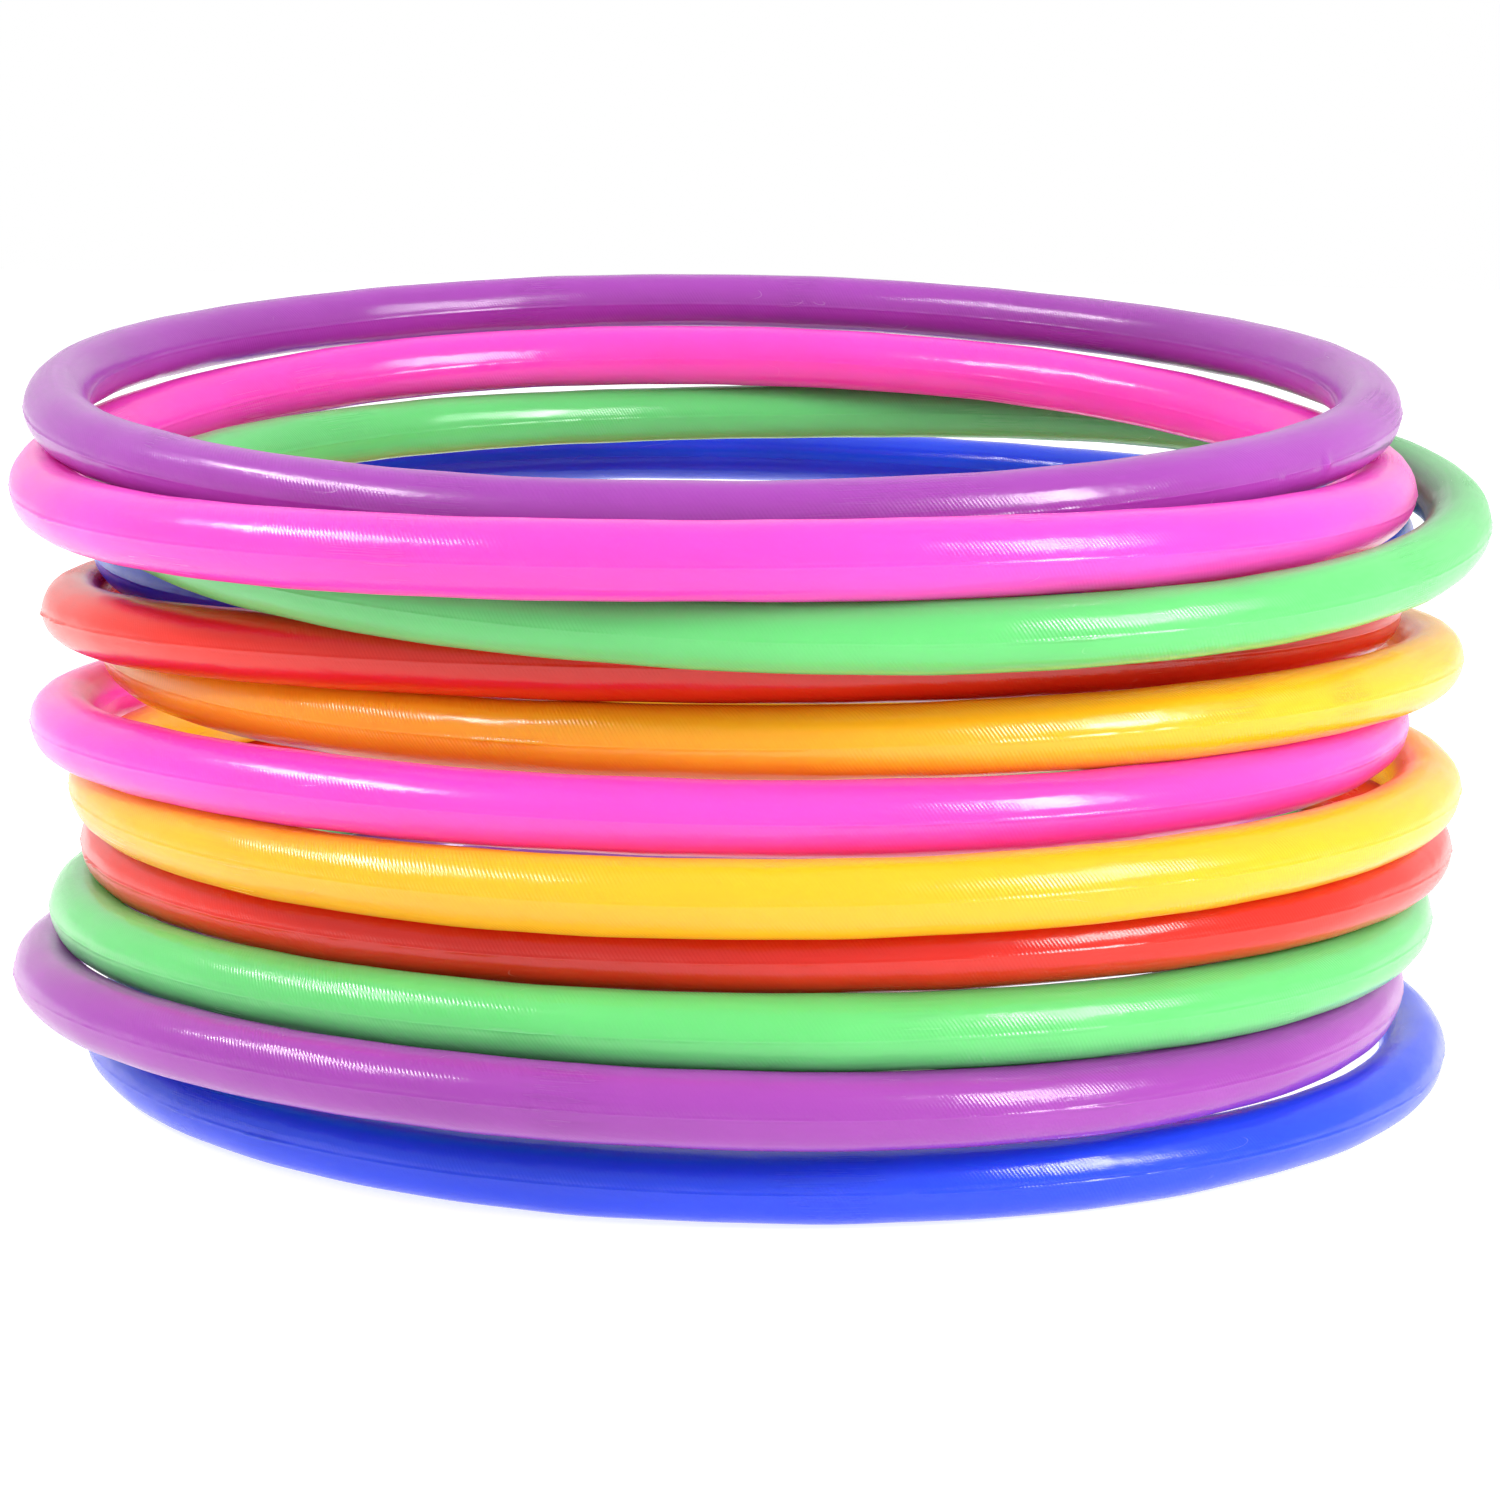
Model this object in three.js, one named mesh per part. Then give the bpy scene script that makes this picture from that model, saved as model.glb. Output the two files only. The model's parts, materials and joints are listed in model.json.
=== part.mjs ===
// Ring toss set: twelve loose plastic toss rings, lying in one untidy stack.
// Millimetres, +Z up. The origin is on the table, under the middle of the stack.

import * as THREE from 'three';
import { mergeVertices } from 'three/addons/utils/BufferGeometryUtils.js';

// ---- Driving dimensions ----

const RING_DIAMETER = 152.6; // across the ring, from tube centre to tube centre
const CONTACT_GAP = 0.2; // left between two rings where one rests on the other

const STEPS_AROUND_RING = 48;
const SIDES_OF_TUBE = 12;
const REST_POINTS = 360; // points on a centre line, for finding where rings touch

const CENTRE_LINE_RADIUS = RING_DIAMETER / 2;

// ---- Plastics ----

const ROUGHNESS = 0.28;

const PLASTICS = {
  purple: 0xb455c4,
  pink: 0xff5be0,
  green: 0x74e080,
  blue: 0x2948f0,
  red: 0xd8381f,
  orange: 0xf0922a,
  yellow: 0xffd638,
};

// ---- The stack, from the table up ----
// A ring's name starts with its colour.
// tube: how thick the ring is. No two of these rings came out of the mould quite alike.
// shift: how far the ring's centre lies from the bottom ring's, +X right and +Y to the back.
// tilt: the ring's lean about X and about Y, in degrees.
// bow: how far the soft ring lifts out of flat at two opposite places, and their direction
// in degrees from +X. It sinks as far between them.

const STACK = [
  { name: 'blue_ring_lower', tube: 7.2, shift: [0, 0], tilt: [0, 0], bow: [0, 0] },
  { name: 'purple_ring_lower', tube: 7.4, shift: [-6.5, -7], tilt: [-0.2, -0.3], bow: [1.1, 50] },
  { name: 'green_ring_lower', tube: 7.5, shift: [-3, -3.3], tilt: [0, -0.4], bow: [0.4, 60] },
  { name: 'red_ring_lower', tube: 7.3, shift: [-0.2, 0.4], tilt: [0.1, -0.4], bow: [0.4, -55] },
  { name: 'yellow_ring_lower', tube: 7.6, shift: [-0.5, -4.1], tilt: [0.4, -0.5], bow: [0.4, -25] },
  { name: 'pink_ring_lower', tube: 7.4, shift: [-5.8, 0.3], tilt: [0.1, -0.9], bow: [0.9, 40] },
  { name: 'orange_ring', tube: 7.4, shift: [1.3, 6.4], tilt: [-0.3, -0.2], bow: [1, -20] },
  { name: 'red_ring_upper', tube: 7.4, shift: [-5.8, 8], tilt: [-0.1, -0.9], bow: [0.9, 75] },
  { name: 'blue_ring_upper', tube: 7, shift: [-2.3, 20.2], tilt: [2, -1.1], bow: [1.2, -55] },
  { name: 'green_ring_upper', tube: 7.1, shift: [2.4, -1.5], tilt: [4.7, -0.5], bow: [0.9, 30] },
  { name: 'pink_ring_upper', tube: 7.7, shift: [-6.8, -3.6], tilt: [4.8, -0.3], bow: [1.8, -85] },
  { name: 'purple_ring_upper', tube: 7.1, shift: [-7.1, 5.3], tilt: [6.3, -0.4], bow: [0.2, -30] },
];

/** How far a bowed ring's centre line stands out of flat, at an angle round the ring. */
function bowHeight([rise, direction], angle) {
  return rise * Math.cos(2 * (angle - THREE.MathUtils.degToRad(direction)));
}

/** A ring: a round section turned about Z, with flats under and over it, then bowed. */
function ringGeometry(tube, bow) {
  const section = [];
  for (let corner = 0; corner <= SIDES_OF_TUBE; corner += 1) {
    const turn = ((corner % SIDES_OF_TUBE) + 0.5) * ((2 * Math.PI) / SIDES_OF_TUBE);
    section.push(new THREE.Vector2(
      CENTRE_LINE_RADIUS + (tube / 2) * Math.cos(turn),
      (tube / 2) * Math.sin(turn),
    ));
  }
  const turned = new THREE.LatheGeometry(section, STEPS_AROUND_RING);
  turned.rotateX(Math.PI / 2);
  turned.deleteAttribute('normal');
  turned.deleteAttribute('uv');

  const geometry = mergeVertices(turned);
  const points = geometry.attributes.position;
  for (let i = 0; i < points.count; i += 1) {
    const angle = Math.atan2(points.getY(i), points.getX(i));
    points.setZ(i, points.getZ(i) + bowHeight(bow, angle));
  }
  geometry.computeVertexNormals();
  return geometry;
}

/** Points along a ring's centre line, as the ring lies once it is shifted and tilted. */
function centreLine(ring, bow) {
  ring.updateMatrix();
  const points = [];
  for (let i = 0; i < REST_POINTS; i += 1) {
    const angle = (i * 2 * Math.PI) / REST_POINTS;
    const point = new THREE.Vector3(
      CENTRE_LINE_RADIUS * Math.cos(angle),
      CENTRE_LINE_RADIUS * Math.sin(angle),
      bowHeight(bow, angle),
    );
    points.push(point.applyMatrix4(ring.matrix));
  }
  return points;
}

/** How far a ring at height 0 has to be raised to lie on the rings that are already down. */
function restHeight(line, tube, ringsDown) {
  let height = tube / 2;
  for (const lower of ringsDown) {
    const reach = (tube + lower.tube) / 2 + CONTACT_GAP;
    for (const under of lower.line) {
      for (const point of line) {
        const aside = Math.hypot(point.x - under.x, point.y - under.y);
        if (aside < reach) {
          const rise = Math.sqrt(reach ** 2 - aside ** 2);
          height = Math.max(height, under.z + rise - point.z);
        }
      }
    }
  }
  return height;
}

/** Lays the rings down one after another, each on the ones below it. */
function buildStack() {
  const stack = new THREE.Group();
  const ringsDown = [];
  for (const { name, tube, shift, tilt, bow } of STACK) {
    const [plastic] = name.split('_');
    const material = new THREE.MeshStandardMaterial({
      color: PLASTICS[plastic],
      roughness: ROUGHNESS,
      metalness: 0,
    });
    const ring = new THREE.Mesh(ringGeometry(tube, bow), material);
    ring.name = name;
    ring.position.set(shift[0], shift[1], 0);
    ring.rotation.set(...tilt.map(THREE.MathUtils.degToRad), 0, 'YXZ');

    const line = centreLine(ring, bow);
    const height = restHeight(line, tube, ringsDown);
    ring.position.z = height;
    for (const point of line) {
      point.z += height;
    }
    ringsDown.push({ line, tube });
    stack.add(ring);
  }
  return stack;
}

const stack = buildStack();
const box = new THREE.Box3().setFromObject(stack, true);
const middle = box.getCenter(new THREE.Vector3());
stack.position.set(-middle.x, -middle.y, -box.min.z);

const set = new THREE.Group();
set.add(stack);

export default set;
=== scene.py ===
"""Ring toss set: twelve loose plastic rings in one untidy stack, in soft studio light."""

import json
import math
from collections import namedtuple

import bpy
import numpy as np
from mathutils import Matrix, Vector


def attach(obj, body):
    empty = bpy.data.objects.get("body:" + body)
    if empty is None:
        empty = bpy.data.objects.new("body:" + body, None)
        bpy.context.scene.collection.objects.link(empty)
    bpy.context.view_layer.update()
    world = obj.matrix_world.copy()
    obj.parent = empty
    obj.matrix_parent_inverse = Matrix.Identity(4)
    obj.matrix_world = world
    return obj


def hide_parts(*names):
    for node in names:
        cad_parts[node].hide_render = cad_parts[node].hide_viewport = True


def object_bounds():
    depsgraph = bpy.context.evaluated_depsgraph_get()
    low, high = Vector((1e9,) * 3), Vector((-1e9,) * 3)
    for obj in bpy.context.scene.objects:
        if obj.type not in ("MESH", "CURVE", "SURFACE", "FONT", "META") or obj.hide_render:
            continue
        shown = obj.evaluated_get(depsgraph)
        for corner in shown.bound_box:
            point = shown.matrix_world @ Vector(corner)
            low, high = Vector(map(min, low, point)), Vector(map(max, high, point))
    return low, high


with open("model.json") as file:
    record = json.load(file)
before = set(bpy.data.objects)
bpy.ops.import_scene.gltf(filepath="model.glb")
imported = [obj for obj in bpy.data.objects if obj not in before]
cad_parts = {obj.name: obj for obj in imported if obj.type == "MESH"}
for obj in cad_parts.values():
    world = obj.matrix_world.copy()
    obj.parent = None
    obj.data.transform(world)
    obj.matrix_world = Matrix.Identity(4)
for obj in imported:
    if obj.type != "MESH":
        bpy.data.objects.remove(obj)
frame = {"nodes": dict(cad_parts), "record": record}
cad_box = [list(corner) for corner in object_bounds()]

# ---- The moulding, in metres ----

STEPS_AROUND_RING = 960
SIDES_PER_QUARTER = 9
FINER_AT_PARTING_LINE = 1.8  # how much closer together the sides are at the parting line
CLOSED_GAP = 0.00013  # the tube is this much fatter than the CAD one, so that resting rings touch

LINE_HEIGHT = 0.00008
LINE_UNEVENNESS = 0.00004
FLASH_HEIGHT = 0.00045
FLASH_REACH = 0.004
GATE_HEIGHT = 0.00035
GATE_SIZE = 0.0007
FLOW_HEIGHT = 0.00003
LOBES = {2: 0.00004, 3: 0.00003, 5: 0.000015}  # out of round: lobes round the tube, and their height

RIB_PITCH = 0.00043  # fine ribs across the tube
RIB_SLANT = 35  # how many ribs they shift by, once round the tube

# ---- The skin of the plastic ----
# A noise's scale is in features per metre. Where it has three numbers, the first two hold along
# the tube and the third holds round it.

IOR = 1.5
LIGHT_REACH = 0.005  # how far light travels inside the plastic
COLOUR_CHANGE = 0.05  # a ring with a far colour changes this far to either side of its middle, where its painted reflection of the red and pink rings fades out

CLOUD_SCALE = 28
CLOUD_SHADES = (0.92, 1.06)  # the darkest and the palest, as a share of the plastic's colour
PATCH_SCALE = 45
STREAK_SCALE = (60, 60, 2600)
SCRATCH_SCALE = (90, 90, 260)
SCRATCHED_PLACES_SCALE = (55, 55, 300)
RIB_BAND_SCALE = (50, 50, 500)
WAVE_SCALE = (220, 220, 420)
GRAIN_SCALE = 3000

SHINY_ROUGHNESS = 0.16
DULL_ROUGHNESS = 0.23
PATCH_DULLNESS = 0.08  # added to the roughness in the dullest patches
SCUFF_STRENGTH = 0.35
SCUFF_SHADE = 0.75
SCRATCH_STRENGTH = 0.2
SCRATCH_HALF_WIDTH = 0.004  # as a step in the noise whose contour the scratch follows

# Where the noise begins to show a thing, and where it shows it fully. Its middle value is 0.5.
SCUFFED_PATCHES = (0.58, 0.68)
SCUFFED_STREAKS = (0.4, 0.6)
DULL_STREAKS = (0.25, 0.75)
DULL_PATCHES = (0.5, 0.7)
GRAINY_PATCHES = (0.4, 0.65)
RIB_BANDS = (0.36, 0.48)
SCRATCHED_PLACES = (0.66, 0.70)
LEAST_GRAIN = 0.2  # the share of the grain that is left outside the grainy patches

RIB_HEIGHT = 0.00001
WAVE_HEIGHT = 0.0001
STREAK_HEIGHT = 0.000012
GRAIN_HEIGHT = 0.000012
SCRATCH_HEIGHT = 0.00002

# ---- The plastics ----
# Where far is given, the more orange colour towards the left is painted reflection of the red and
# pink rings next to the ring.
# colour: linear. far: the colour on the ring's right side, where it differs.
# depth: how much light goes in and comes out again nearby. ribs: how clearly they show.

Plastic = namedtuple("Plastic", "colour far depth ribs")

PLASTICS = {
    "purple_plastic": Plastic((0.32, 0.050, 0.37), None, 0.9, 0.5),
    "pink_plastic": Plastic((0.90, 0.058, 0.49), None, 0.9, 0.4),
    "green_plastic": Plastic((0.125, 0.56, 0.165), None, 0.9, 0.7),
    "blue_plastic": Plastic((0.010, 0.060, 0.76), None, 0.8, 0.4),
    "red_plastic": Plastic((0.63, 0.015, 0.005), None, 0.9, 0.5),
    "orange_plastic": Plastic((0.95, 0.32, 0.012), (0.93, 0.47, 0.008), 0.9, 1.0),
    "yellow_plastic": Plastic((0.92, 0.425, 0.012), (0.92, 0.47, 0.008), 0.9, 0.8),
}

# ---- The rings, from the table up ----
# gate: where round the ring its gate scar is. flashes: where thin torn flash stands on the line.
# Both are in degrees from +X.
# shoulders: how far a soft ring gives at its back left and back right, in metres up.

Marks = namedtuple("Marks", "gate flashes shoulders", defaults=(0,))

MARKS = {
    "blue_ring_lower": Marks(80, (230,)),
    "purple_ring_lower": Marks(140, (20, 300)),
    "green_ring_lower": Marks(115, (255,)),
    "red_ring_lower": Marks(60, (200,)),
    "yellow_ring_lower": Marks(100, ()),
    "pink_ring_lower": Marks(165, (330,)),
    "orange_ring": Marks(45, (250,)),
    "red_ring_upper": Marks(75, (196, 203, 222)),
    "blue_ring_upper": Marks(120, (60,)),
    "green_ring_upper": Marks(35, (290,), 0.0005),
    "pink_ring_upper": Marks(95, (210,), 0.0004),
    "purple_ring_upper": Marks(325, (150,), -0.0004),
}

Shape = namedtuple("Shape", "centre right back up ring_radius tube_radius bow")


def read_ring(node):
    """Where a CAD ring lies, its two radii, and how it is bowed out of flat."""
    points = np.array([v.co for v in frame["nodes"][node].data.vertices])
    points = np.unique(points.round(6), axis=0)
    centre = points.mean(axis=0)
    offsets = points - centre
    up = np.linalg.svd(offsets, full_matrices=False)[2][2]
    up = up * np.sign(up[2])
    right = np.cross([0, 1, 0], up)
    right = right / np.linalg.norm(right)
    back = np.cross(up, right)
    along, deep, height = offsets @ right, offsets @ back, offsets @ up
    angle = np.arctan2(deep, along)
    ring_radius = np.hypot(along, deep).mean()
    bow = 2 * (height * np.cos(2 * angle)).mean(), 2 * (height * np.sin(2 * angle)).mean()
    flat_height = height - bow[0] * np.cos(2 * angle) - bow[1] * np.sin(2 * angle)
    tube_radius = np.hypot(np.hypot(along, deep) - ring_radius, flat_height).mean()
    return Shape(centre, right, back, up, ring_radius, tube_radius, bow)


def side_angles():
    """Angles round the tube's section, from the outer parting line, closer together at both lines."""
    fraction = np.arange(SIDES_PER_QUARTER) / SIDES_PER_QUARTER
    quarter = (math.pi / 2) * fraction ** FINER_AT_PARTING_LINE
    half = np.concatenate([quarter, [math.pi / 2], math.pi - quarter[:0:-1]])
    return np.concatenate([half, half + math.pi])


def waves(angle, counts, rng):
    """A smooth uneven line round the ring, about 0 with swings of about 1."""
    line = np.zeros_like(angle)
    for count in counts:
        line = line + np.cos(count * angle + rng.uniform(0, 2 * math.pi))
    return line / math.sqrt(len(counts))


def torn_edge(distance, rng):
    """The height of a scrap of flash along its length: 1 at its tallest tooth, 0 where it ends."""
    teeth = waves(distance / FLASH_REACH * math.pi, (3, 7, 13), rng)
    fade = np.clip(1 - np.abs(distance) / FLASH_REACH, 0, 1)
    return np.clip(0.6 + 0.5 * teeth, 0, 1) * np.sqrt(fade)


def tube_offsets(shape, marks, angle, side, rng):
    """How far the surface stands off a true round tube, at each angle and side."""
    at_outer_line = np.abs(np.sin(side / 2)) < 1e-6
    at_inner_line = np.abs(np.cos(side / 2)) < 1e-6
    line = LINE_HEIGHT + LINE_UNEVENNESS * waves(angle, (5, 17, 61, 143), rng)
    offsets = np.zeros((len(angle), len(side)))
    offsets[:, at_outer_line] = line[:, None]
    offsets[:, at_inner_line] = line[:, None]
    for degrees in marks.flashes:
        distance = arc_from(angle, degrees) * shape.ring_radius
        offsets[:, at_outer_line] += FLASH_HEIGHT * torn_edge(distance, rng)[:, None]

    gate_along = arc_from(angle, marks.gate) * shape.ring_radius
    gate_across = arc_from(side, 0) * shape.tube_radius
    nearness = (gate_along[:, None] ** 2 + gate_across[None, :] ** 2) / GATE_SIZE ** 2
    offsets += GATE_HEIGHT * np.exp(-nearness)

    offsets += FLOW_HEIGHT * waves(angle, (9, 23, 38), rng)[:, None]
    for lobes, height in LOBES.items():
        turn = waves(angle, (2, 5, 9), rng)
        size = waves(angle, (3, 7, 16), rng)
        offsets += height * size[:, None] * np.cos(lobes * side[None, :] + turn[:, None])
    return offsets


def arc_from(angle, degrees):
    """The signed angle from a place in degrees, in radians, the short way round."""
    return (angle - math.radians(degrees) + math.pi) % (2 * math.pi) - math.pi


def ring_piece(name, shape, marks, rng):
    """One ring as a closed mesh. Its attribute "place" says where along and round the tube it is."""
    angle = np.arange(STEPS_AROUND_RING) * (2 * math.pi / STEPS_AROUND_RING)
    side = side_angles()
    tube = shape.tube_radius + CLOSED_GAP + tube_offsets(shape, marks, angle, side, rng)
    out = shape.ring_radius + tube * np.cos(side)
    bow = shape.bow[0] * np.cos(2 * angle) + shape.bow[1] * np.sin(2 * angle)
    give = marks.shoulders * np.where(np.sin(angle) > 0, np.sin(2 * angle) ** 2, 0)
    height = (bow + give)[:, None] + tube * np.sin(side)
    points = (
        shape.centre
        + (out * np.cos(angle)[:, None])[..., None] * shape.right
        + (out * np.sin(angle)[:, None])[..., None] * shape.back
        + height[..., None] * shape.up
    )

    steps, sides = len(angle), len(side)
    step, corner = np.meshgrid(np.arange(steps), np.arange(sides), indexing="ij")
    next_step, next_corner = (step + 1) % steps, (corner + 1) % sides
    faces = np.stack([
        step * sides + corner,
        next_step * sides + corner,
        next_step * sides + next_corner,
        step * sides + next_corner,
    ], axis=-1).reshape(-1, 4)
    mesh = bpy.data.meshes.new(name)
    mesh.from_pydata(points.reshape(-1, 3).tolist(), [], faces.tolist())
    mesh.shade_smooth()

    turned = angle + rng.uniform(0, 2 * math.pi)
    along = np.stack([np.cos(turned), np.sin(turned)], axis=-1) * shape.ring_radius
    around = np.append(side, 2 * math.pi)[:, None] * shape.tube_radius
    place = np.stack([
        np.concatenate([along[step], around[corner]], axis=-1),
        np.concatenate([along[next_step], around[corner]], axis=-1),
        np.concatenate([along[next_step], around[corner + 1]], axis=-1),
        np.concatenate([along[step], around[corner + 1]], axis=-1),
    ], axis=2)
    layer = mesh.attributes.new("place", "FLOAT_VECTOR", "CORNER")
    layer.data.foreach_set("vector", place.reshape(-1).astype(np.float32))

    piece = bpy.data.objects.new(name, mesh)
    bpy.context.scene.collection.objects.link(piece)
    return piece


# ---- Materials ----

def add(nodes, kind, **values):
    """A shader node with its properties set; input names use _ for a space."""
    node = nodes.new(kind)
    for key, value in values.items():
        name = key.replace("_", " ")
        if name in node.inputs:
            node.inputs[name].default_value = value
        else:
            setattr(node, key, value)
    return node


def noise(nodes, links, vector, scale, detail, roughness=0.5):
    """A noise of its own scale on a vector; its output is about 0.5."""
    texture = add(nodes, "ShaderNodeTexNoise", Scale=scale, Detail=detail, Roughness=roughness)
    links.new(vector, texture.inputs["Vector"])
    return texture.outputs["Fac"]


def stretched(nodes, links, vector, scale):
    """A vector scaled by its own amount on each axis."""
    mapping = add(nodes, "ShaderNodeMapping")
    mapping.inputs["Scale"].default_value = scale
    links.new(vector, mapping.inputs["Vector"])
    return mapping.outputs["Vector"]


def remap(nodes, links, value, span, result):
    """A value that goes from one end of result to the other as the input crosses span."""
    mapped = add(nodes, "ShaderNodeMapRange")
    mapped.inputs["From Min"].default_value, mapped.inputs["From Max"].default_value = span
    mapped.inputs["To Min"].default_value, mapped.inputs["To Max"].default_value = result
    links.new(value, mapped.inputs["Value"])
    return mapped.outputs["Result"]


def maths(nodes, links, operation, *values):
    """One maths node; each value is a number or a socket."""
    node = add(nodes, "ShaderNodeMath", operation=operation)
    for socket, value in zip(node.inputs, values):
        if isinstance(value, (int, float)):
            socket.default_value = value
        else:
            links.new(value, socket)
    return node.outputs[0]


def hair_scratches(nodes, links, vector):
    """Thin curved lines, here and there: the contour of one noise, where another is high."""
    contour = noise(nodes, links, stretched(nodes, links, vector, SCRATCH_SCALE), 1.0, 1.0)
    away = maths(nodes, links, "ABSOLUTE", maths(nodes, links, "SUBTRACT", contour, 0.5))
    line = remap(nodes, links, away, (0, SCRATCH_HALF_WIDTH), (1, 0))
    place = noise(nodes, links, stretched(nodes, links, vector, SCRATCHED_PLACES_SCALE), 1.0, 1.0)
    scratched = remap(nodes, links, place, SCRATCHED_PLACES, (0, 1))
    return maths(nodes, links, "MULTIPLY", line, scratched)


def ribs(nodes, links, place, ring_radius, tube_radius):
    """Fine ribs across the tube, a little aslant, left by the mould."""
    split = add(nodes, "ShaderNodeSeparateXYZ")
    links.new(place, split.inputs["Vector"])
    angle = maths(nodes, links, "ARCTAN2", split.outputs["Y"], split.outputs["X"])
    count = round(2 * math.pi * ring_radius / RIB_PITCH)
    slant = maths(nodes, links, "MULTIPLY", split.outputs["Z"], RIB_SLANT / tube_radius)
    phase = maths(nodes, links, "MULTIPLY_ADD", angle, count, slant)
    return maths(nodes, links, "SINE", phase)


def bump(nodes, links, height, distance, normal=None):
    """The surface raised by distance where height is 1."""
    node = add(nodes, "ShaderNodeBump", Strength=1.0, Distance=distance)
    links.new(height, node.inputs["Height"])
    if normal:
        links.new(normal, node.inputs["Normal"])
    return node.outputs["Normal"]


def mixed(nodes, links, amount, colour, other):
    """A colour mixed towards a fixed one."""
    mix = add(nodes, "ShaderNodeMix", data_type="RGBA")
    links.new(amount, mix.inputs["Factor"])
    links.new(colour, mix.inputs["A"])
    mix.inputs["B"].default_value = (*other, 1)
    return mix.outputs["Result"]


def plastic_material(slot, ring_radius, tube_radius):
    """Glossy moulded plastic with clouds of colour, streaks, ribs, grain and scratches."""
    plastic = PLASTICS[slot]
    material = bpy.data.materials.new(slot)
    material.use_nodes = True
    nodes = material.node_tree.nodes
    links = material.node_tree.links
    shader = nodes["Principled BSDF"]
    shader.inputs["IOR"].default_value = IOR
    shader.inputs["Subsurface Weight"].default_value = plastic.depth
    shader.inputs["Subsurface Scale"].default_value = LIGHT_REACH
    shader.inputs["Subsurface Radius"].default_value = (1.0, 1.0, 1.0)

    place = add(nodes, "ShaderNodeAttribute", attribute_name="place").outputs["Vector"]
    where = add(nodes, "ShaderNodeTexCoord").outputs["Object"]
    streak = noise(nodes, links, stretched(nodes, links, place, STREAK_SCALE), 1.0, 3.0, 0.6)
    patch = noise(nodes, links, where, PATCH_SCALE, 2.0)
    scratch = hair_scratches(nodes, links, place)

    # Colour: clouds a few centimetres long, fine streaks where the skin is scuffed, pale scratches.
    cloud = noise(nodes, links, where, CLOUD_SCALE, 3.0, 0.55)
    shades = add(nodes, "ShaderNodeValToRGB")
    shades.color_ramp.elements[0].position = 0.3
    shades.color_ramp.elements[0].color = [CLOUD_SHADES[0] * c for c in plastic.colour] + [1]
    shades.color_ramp.elements[1].position = 0.7
    palest = [min(1.0, CLOUD_SHADES[1] * c) for c in plastic.colour]
    shades.color_ramp.elements[1].color = palest + [1]
    links.new(cloud, shades.inputs["Fac"])
    colour = shades.outputs["Color"]
    # Painted reflection: the left side keeps the more orange colour, which stands for red and pink
    # light bounced from the rings next to it, and the right side turns to far.
    if plastic.far:
        split = add(nodes, "ShaderNodeSeparateXYZ")
        links.new(where, split.inputs["Vector"])
        span = (-COLOUR_CHANGE, COLOUR_CHANGE)
        to_the_right = remap(nodes, links, split.outputs["X"], span, (0, 1))
        colour = mixed(nodes, links, to_the_right, colour, plastic.far)
    scuffed_patches = remap(nodes, links, patch, SCUFFED_PATCHES, (0, SCUFF_STRENGTH))
    scuffed_streaks = remap(nodes, links, streak, SCUFFED_STREAKS, (0, 1))
    scuffed = maths(nodes, links, "MULTIPLY", scuffed_patches, scuffed_streaks)
    colour = mixed(nodes, links, scuffed, colour, [SCUFF_SHADE * c for c in plastic.colour])
    pale = maths(nodes, links, "MULTIPLY", scratch, SCRATCH_STRENGTH)
    colour = mixed(nodes, links, pale, colour, [0.5 + 0.5 * c for c in plastic.colour])
    links.new(colour, shader.inputs["Base Color"])

    # Gloss: duller and shinier streaks that run along the tube, and duller patches.
    in_streaks = remap(nodes, links, streak, DULL_STREAKS, (SHINY_ROUGHNESS, DULL_ROUGHNESS))
    in_patches = remap(nodes, links, patch, DULL_PATCHES, (0, PATCH_DULLNESS))
    gloss = maths(nodes, links, "ADD", in_streaks, in_patches)
    links.new(gloss, shader.inputs["Roughness"])

    # Skin: ribs in bands, waves a few millimetres long, a fine grain and the scratches.
    band = noise(nodes, links, stretched(nodes, links, place, RIB_BAND_SCALE), 1.0, 1.0)
    ribbed = remap(nodes, links, band, RIB_BANDS, (0, plastic.ribs))
    rib = ribs(nodes, links, place, ring_radius, tube_radius)
    rib_height = maths(nodes, links, "MULTIPLY", rib, ribbed)
    normal = bump(nodes, links, rib_height, RIB_HEIGHT)
    wave = noise(nodes, links, stretched(nodes, links, place, WAVE_SCALE), 1.0, 2.0)
    normal = bump(nodes, links, wave, WAVE_HEIGHT, normal)
    grainy = remap(nodes, links, patch, GRAINY_PATCHES, (LEAST_GRAIN, 1))
    grain = noise(nodes, links, where, GRAIN_SCALE, 2.0)
    grain = maths(nodes, links, "MULTIPLY", grain, grainy)
    normal = bump(nodes, links, grain, GRAIN_HEIGHT, normal)
    normal = bump(nodes, links, streak, STREAK_HEIGHT, normal)
    normal = bump(nodes, links, scratch, SCRATCH_HEIGHT, normal)
    links.new(normal, shader.inputs["Normal"])
    return material


# ---- The rings ----

slot_of_node = {part["node"]: part["material_slot"] for part in frame["record"]["subparts"]}
body_of_node = {
    node: body for body, members in frame["record"]["behaviour"]["bodies"].items() for node in members
}
shapes = {node: read_ring(node) for node in MARKS}
materials = {}
for node, shape in shapes.items():
    slot = slot_of_node[node]
    if slot not in materials:
        materials[slot] = plastic_material(slot, shape.ring_radius, shape.tube_radius)

for index, (node, marks) in enumerate(MARKS.items()):
    piece = ring_piece(node + "_moulding", shapes[node], marks, np.random.default_rng(index))
    piece.data.materials.append(materials[slot_of_node[node]])
    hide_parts(node)
    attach(piece, body_of_node[node])

# ---- Table, light and camera ----

TABLE_RADIUS = 4.0
TABLE_SIDES = 128
TABLE_DEPTH = 0.0004
TABLE_GLOW = 0.8
WORLD_IN_FRONT = 0.7
WORLD_BEHIND = 0.9

SOFTBOX_DISTANCE = 0.9

# Azimuth is in degrees to the right of the front, and power is in watts.
Softbox = namedtuple("Softbox", "azimuth elevation width height power")

SOFTBOXES = {
    "softbox_left": Softbox(-72, 40, 0.56, 0.07, 5.2),
    "softbox_right": Softbox(55, 28, 0.22, 0.42, 6.6),
}

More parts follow.
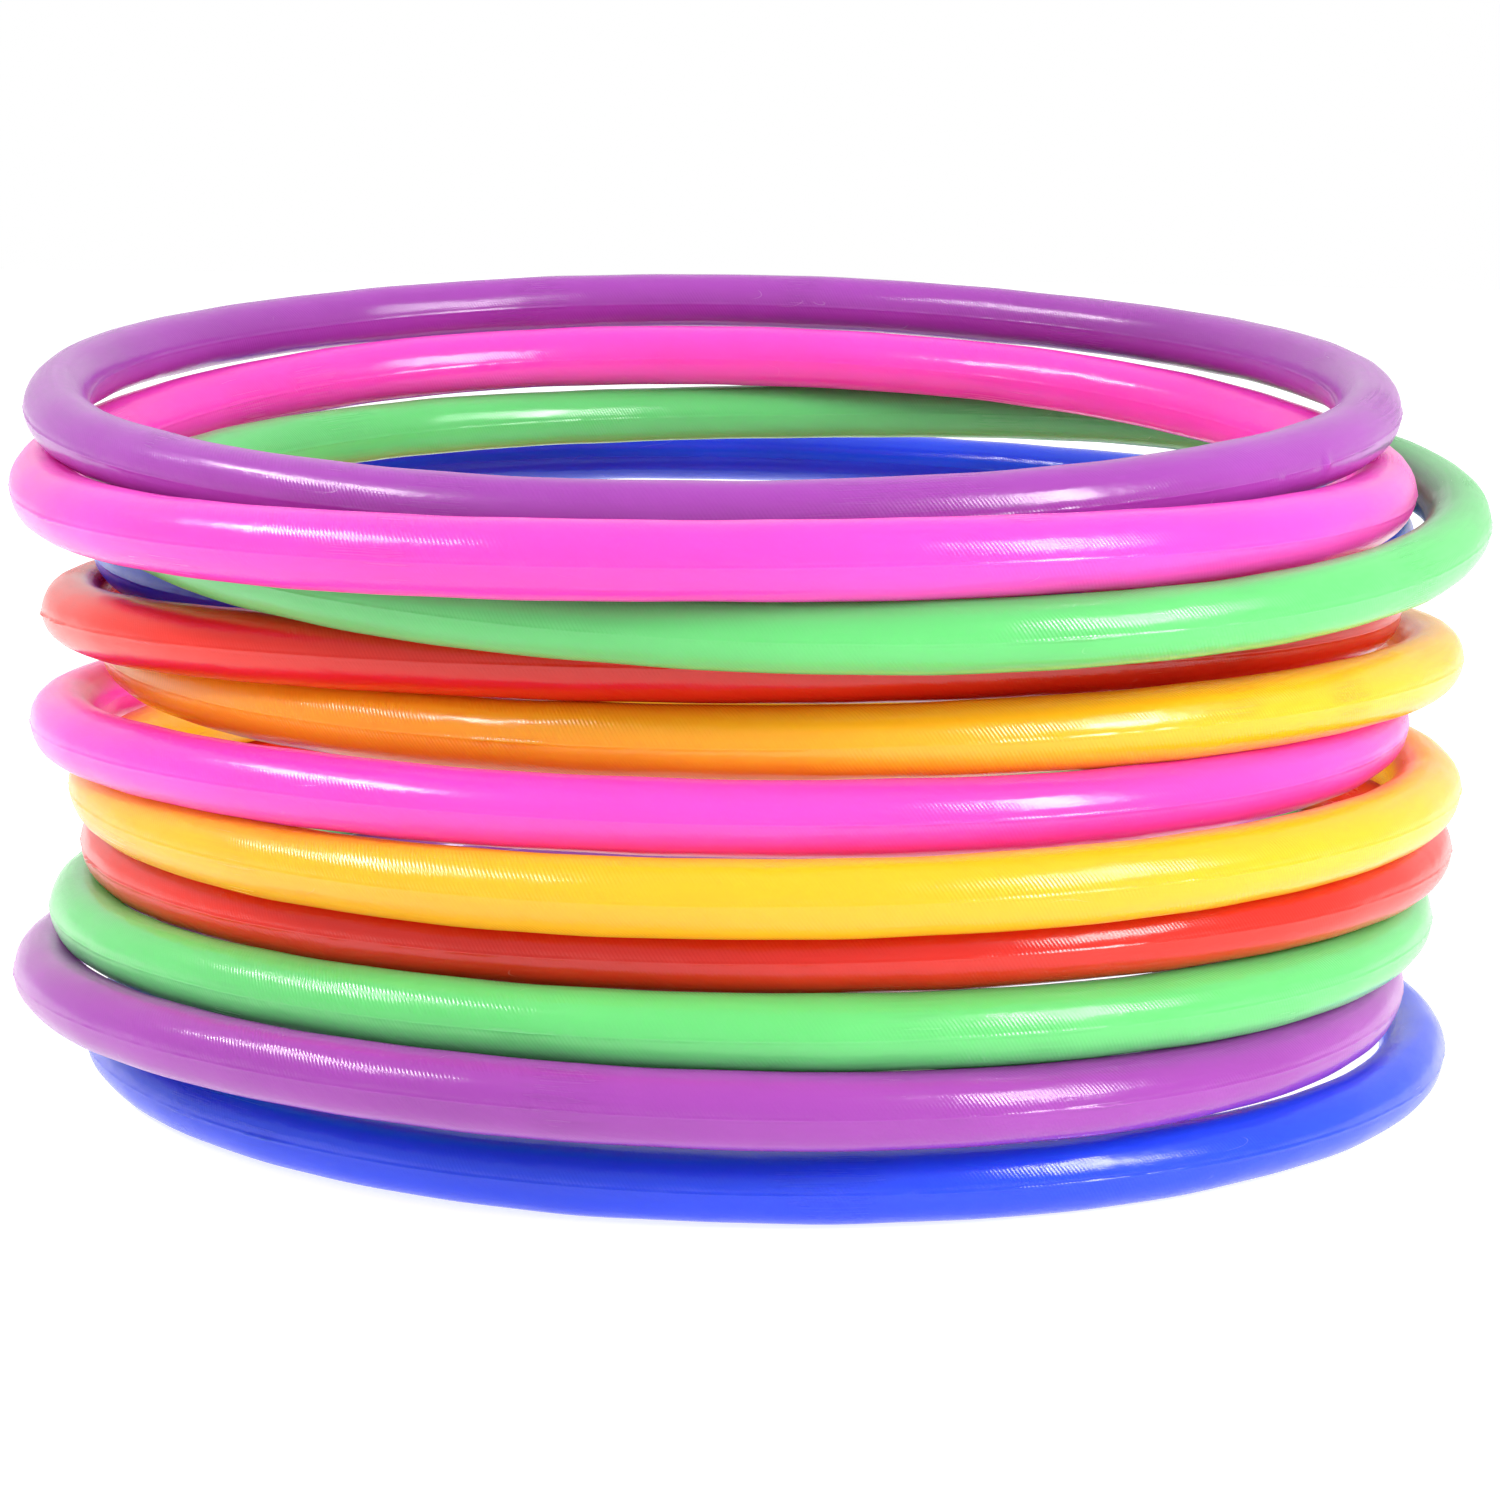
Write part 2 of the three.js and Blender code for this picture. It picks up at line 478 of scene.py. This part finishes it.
CAMERA_PLACE = (0.0024, -0.4239, 0.0999)
CAMERA_PAN = 0.31  # degrees to the left
CAMERA_PITCH = 8.82  # degrees down
CAMERA_ROLL = 0.82
SENSOR_WIDTH = 36.0
FOCAL_LENGTH = 85.62


def build_table():
    """A round white table top, lit a little from within, as a light table is."""
    rim = [2 * math.pi * i / TABLE_SIDES for i in range(TABLE_SIDES)]
    corners = [(TABLE_RADIUS * math.cos(a), TABLE_RADIUS * math.sin(a), -TABLE_DEPTH) for a in rim]
    mesh = bpy.data.meshes.new("table")
    mesh.from_pydata(corners, [], [range(TABLE_SIDES)])
    table = bpy.data.objects.new("table", mesh)
    bpy.context.scene.collection.objects.link(table)
    white = bpy.data.materials.new("table_white")
    white.use_nodes = True
    shader = white.node_tree.nodes["Principled BSDF"]
    shader.inputs["Base Color"].default_value = (0.5, 0.5, 0.5, 1)
    shader.inputs["Roughness"].default_value = 0.8
    shader.inputs["Emission Color"].default_value = (1, 1, 1, 1)
    shader.inputs["Emission Strength"].default_value = TABLE_GLOW
    mesh.materials.append(white)


def add_softbox(name, softbox):
    """A soft light that faces the stack."""
    light = bpy.data.lights.new(name, "AREA")
    light.shape = "RECTANGLE"
    light.size = softbox.width
    light.size_y = softbox.height
    light.energy = softbox.power
    box = bpy.data.objects.new(name, light)
    turn, lift = math.radians(softbox.azimuth), math.radians(softbox.elevation)
    direction = Vector((
        math.sin(turn) * math.cos(lift),
        -math.cos(turn) * math.cos(lift),
        math.sin(lift),
    ))
    middle = Vector((0, 0, (cad_box[0][2] + cad_box[1][2]) / 2))
    box.location = middle + SOFTBOX_DISTANCE * direction
    box.rotation_euler = direction.to_track_quat("Z", "Y").to_euler()
    bpy.context.scene.collection.objects.link(box)


def set_world():
    """A white studio: bright behind the stack, dimmer in front, and plain white to look at."""
    world = bpy.data.worlds.new("studio")
    world.use_nodes = True
    nodes = world.node_tree.nodes
    links = world.node_tree.links
    background = nodes["Background"]
    background.inputs["Color"].default_value = (1, 1, 1, 1)
    direction = add(nodes, "ShaderNodeTexCoord")
    split = add(nodes, "ShaderNodeSeparateXYZ")
    links.new(direction.outputs["Generated"], split.inputs["Vector"])
    behind = add(nodes, "ShaderNodeMapRange", interpolation_type="SMOOTHSTEP")
    behind.inputs["From Min"].default_value = 0.0
    behind.inputs["From Max"].default_value = 0.8
    behind.inputs["To Min"].default_value = WORLD_IN_FRONT
    behind.inputs["To Max"].default_value = WORLD_BEHIND
    links.new(split.outputs["Y"], behind.inputs["Value"])
    ray = add(nodes, "ShaderNodeLightPath")
    seen = add(nodes, "ShaderNodeMath", operation="MAXIMUM")
    links.new(ray.outputs["Is Camera Ray"], seen.inputs[0])
    links.new(behind.outputs["Result"], seen.inputs[1])
    links.new(seen.outputs[0], background.inputs["Strength"])
    bpy.context.scene.world = world


def add_camera():
    """A camera a little above the stack, in front of it."""
    lens = bpy.data.cameras.new("camera")
    lens.sensor_width = SENSOR_WIDTH
    lens.lens = FOCAL_LENGTH
    lens.clip_start = 0.01
    camera = bpy.data.objects.new("camera", lens)
    place = Matrix.Translation(CAMERA_PLACE)
    pan = Matrix.Rotation(math.radians(CAMERA_PAN), 4, "Z")
    pitch = Matrix.Rotation(math.radians(90 - CAMERA_PITCH), 4, "X")
    roll = Matrix.Rotation(math.radians(CAMERA_ROLL), 4, "Z")
    camera.matrix_world = place @ pan @ pitch @ roll
    bpy.context.scene.collection.objects.link(camera)
    bpy.context.scene.camera = camera


build_table()
for name, softbox in SOFTBOXES.items():
    add_softbox(name, softbox)
set_world()
add_camera()
bpy.context.scene.view_settings.view_transform = "Standard"
